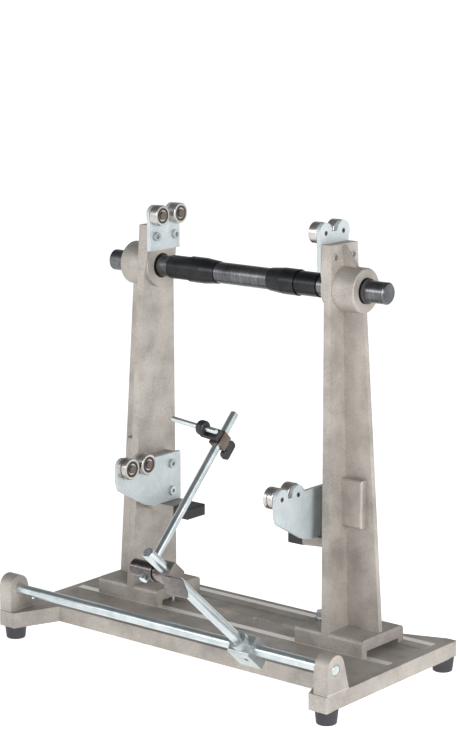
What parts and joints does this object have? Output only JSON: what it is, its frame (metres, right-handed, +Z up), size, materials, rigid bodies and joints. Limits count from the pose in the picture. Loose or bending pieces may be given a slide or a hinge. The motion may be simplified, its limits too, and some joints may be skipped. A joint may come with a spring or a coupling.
{
  "type": "wheel truing and balancing stand",
  "caption": "Cast stand for truing and balancing a motorcycle wheel: sliding uprights, centring arbor, roller cradles and a jointed gauge arm with a pointer.",
  "frame": {"origin": "middle of the arbor, on its axis, half way between the uprights", "axes": "+X along the arbor towards the right upright, -Y towards the rail and gauge arm, +Z up"},
  "size_m": [0.505, 0.4091, 0.5295],
  "materials": {
    "cast_aluminium": "sand cast, warm grey",
    "foot_rubber": "moulded",
    "black_rubber": "moulded",
    "zinc_plate": "zinc plated sheet",
    "zinc_rod": "bright zinc plated bar",
    "zinc_fastener": "zinc plated",
    "cast_zinc": "die cast, dull",
    "bright_steel": "polished",
    "ground_steel": "ground, dark",
    "black_steel": "black oxide",
    "block_steel": "plain steel, brown grey",
    "bearing_bronze": "sintered",
    "black_plastic": "moulded"
  },
  "bodies": {
    "base": {"base_casting": "cast_aluminium", "foot_front_left": "foot_rubber", "foot_rear_left": "foot_rubber", "foot_front_right": "foot_rubber", "foot_rear_right": "foot_rubber"},
    "right_upright": {"right_upright": "cast_aluminium", "right_bush": "bearing_bronze", "right_upper_plate": "zinc_plate", "right_lower_plate": "zinc_plate", "right_bumper": "black_rubber", "right_upper_pin_front": "bright_steel", "right_upper_pin_rear": "bright_steel", "right_lower_pin_front": "bright_steel", "right_lower_pin_rear": "bright_steel", "right_upper_screw_front": "zinc_fastener", "right_upper_screw_rear": "zinc_fastener", "right_lower_screw_low": "zinc_fastener", "right_lower_screw_high": "zinc_fastener", "right_clamp_nut": "zinc_fastener"},
    "right_upper_roller_front": {"right_upper_roller_front": "bright_steel"},
    "right_upper_roller_rear": {"right_upper_roller_rear": "bright_steel"},
    "right_lower_roller_front": {"right_lower_roller_front": "bright_steel"},
    "right_lower_roller_rear": {"right_lower_roller_rear": "bright_steel"},
    "right_clamp_bolt": {"right_clamp_bolt": "zinc_fastener"},
    "left_upright": {"left_upright": "cast_aluminium", "left_bush": "bearing_bronze", "left_upper_plate": "zinc_plate", "left_lower_plate": "zinc_plate", "left_bumper": "black_rubber", "left_upper_pin_front": "bright_steel", "left_upper_pin_rear": "bright_steel", "left_lower_pin_front": "bright_steel", "left_lower_pin_rear": "bright_steel", "left_upper_screw_front": "zinc_fastener", "left_upper_screw_rear": "zinc_fastener", "left_lower_screw_low": "zinc_fastener", "left_lower_screw_high": "zinc_fastener", "left_clamp_nut": "zinc_fastener"},
    "left_upper_roller_front": {"left_upper_roller_front": "bright_steel"},
    "left_upper_roller_rear": {"left_upper_roller_rear": "bright_steel"},
    "left_lower_roller_front": {"left_lower_roller_front": "bright_steel"},
    "left_lower_roller_rear": {"left_lower_roller_rear": "bright_steel"},
    "left_clamp_bolt": {"left_clamp_bolt": "zinc_fastener"},
    "arbor": {"arbor": "ground_steel", "arbor_oring": "black_rubber"},
    "right_cone": {"right_cone": "black_steel"},
    "left_cone": {"left_cone": "black_steel"},
    "rail": {"rail_rod": "zinc_rod"},
    "rail_clamp": {"rail_clamp": "cast_zinc", "rail_clamp_screw": "zinc_fastener", "arm_rod": "zinc_rod"},
    "arm_head": {"arm_head": "cast_zinc", "arm_head_lever": "cast_zinc"},
    "swivel": {"swivel_stud": "black_steel"},
    "gauge_rod": {"gauge_rod": "zinc_rod"},
    "pointer_block": {"pointer_block": "block_steel", "pointer_lever": "black_plastic"},
    "pointer_swivel": {"pointer_swivel": "black_plastic"},
    "pointer_pin": {"pointer_pin": "zinc_rod"}
  },
  "joints": [
    {"name": "right_upright_slide", "type": "slide", "parent": "base", "child": "right_upright", "axis": [1, 0, 0], "range_m": [-0.008, 0.03]},
    {"name": "right_upper_roller_front_spin", "type": "hinge", "parent": "right_upright", "child": "right_upper_roller_front", "pos_m": [0.1191, -0.0165, 0.063], "axis": [1, 0, 0], "continuous": true},
    {"name": "right_upper_roller_rear_spin", "type": "hinge", "parent": "right_upright", "child": "right_upper_roller_rear", "pos_m": [0.1191, 0.0165, 0.063], "axis": [1, 0, 0], "continuous": true},
    {"name": "right_lower_roller_front_spin", "type": "hinge", "parent": "right_upright", "child": "right_lower_roller_front", "pos_m": [0.1111, -0.086, -0.234], "axis": [1, 0, 0], "continuous": true},
    {"name": "right_lower_roller_rear_spin", "type": "hinge", "parent": "right_upright", "child": "right_lower_roller_rear", "pos_m": [0.1111, -0.056, -0.234], "axis": [1, 0, 0], "continuous": true},
    {"name": "right_clamp_bolt_turn", "type": "hinge", "parent": "right_upright", "child": "right_clamp_bolt", "pos_m": [0.1185, 0, -0.396], "axis": [0, 0, 1], "continuous": true},
    {"name": "left_upright_slide", "type": "slide", "parent": "base", "child": "left_upright", "axis": [1, 0, 0], "range_m": [-0.03, 0.008]},
    {"name": "left_upper_roller_front_spin", "type": "hinge", "parent": "left_upright", "child": "left_upper_roller_front", "pos_m": [-0.1191, -0.0165, 0.063], "axis": [1, 0, 0], "continuous": true},
    {"name": "left_upper_roller_rear_spin", "type": "hinge", "parent": "left_upright", "child": "left_upper_roller_rear", "pos_m": [-0.1191, 0.0165, 0.063], "axis": [1, 0, 0], "continuous": true},
    {"name": "left_lower_roller_front_spin", "type": "hinge", "parent": "left_upright", "child": "left_lower_roller_front", "pos_m": [-0.1111, -0.086, -0.234], "axis": [1, 0, 0], "continuous": true},
    {"name": "left_lower_roller_rear_spin", "type": "hinge", "parent": "left_upright", "child": "left_lower_roller_rear", "pos_m": [-0.1111, -0.056, -0.234], "axis": [1, 0, 0], "continuous": true},
    {"name": "left_clamp_bolt_turn", "type": "hinge", "parent": "left_upright", "child": "left_clamp_bolt", "pos_m": [-0.1185, 0, -0.396], "axis": [0, 0, 1], "continuous": true},
    {"name": "arbor_spin", "type": "hinge", "parent": "right_upright", "child": "arbor", "pos_m": [0, 0, 0], "axis": [1, 0, 0], "continuous": true},
    {"name": "right_cone_slide", "type": "slide", "parent": "arbor", "child": "right_cone", "axis": [1, 0, 0], "range_m": [-0.03, 0]},
    {"name": "left_cone_slide", "type": "slide", "parent": "arbor", "child": "left_cone", "axis": [1, 0, 0], "range_m": [0, 0.03]},
    {"name": "rail_turn", "type": "hinge", "parent": "base", "child": "rail", "pos_m": [0, -0.1535, -0.391], "axis": [1, 0, 0], "range_deg": [-5, 25]},
    {"name": "rail_clamp_slide", "type": "slide", "parent": "rail", "child": "rail_clamp", "axis": [1, 0, 0], "range_m": [-0.2, 0.06]},
    {"name": "arm_head_slide", "type": "slide", "parent": "rail_clamp", "child": "arm_head", "axis": [0, -0.7455, 0.6665], "range_m": [-0.06, 0.025]},
    {"name": "swivel_turn", "type": "hinge", "parent": "arm_head", "child": "swivel", "pos_m": [0.094, -0.28172, -0.27636], "axis": [1, 0, 0], "range_deg": [-12, 12]},
    {"name": "gauge_rod_slide", "type": "slide", "parent": "swivel", "child": "gauge_rod", "axis": [0, 0.7046, 0.7096], "range_m": [-0.06, 0.003]},
    {"name": "pointer_block_slide", "type": "slide", "parent": "gauge_rod", "child": "pointer_block", "axis": [0, 0.7046, 0.7096], "range_m": [-0.06, 0.025]},
    {"name": "pointer_turn", "type": "hinge", "parent": "pointer_block", "child": "pointer_swivel", "pos_m": [0.094, -0.16123, -0.15502], "axis": [0, -0.7096, 0.7046], "range_deg": [-35, 35]},
    {"name": "pointer_slide", "type": "slide", "parent": "pointer_swivel", "child": "pointer_pin", "axis": [0.9954, -0.0675, -0.068], "range_m": [-0.02, 0.012]}
  ]
}
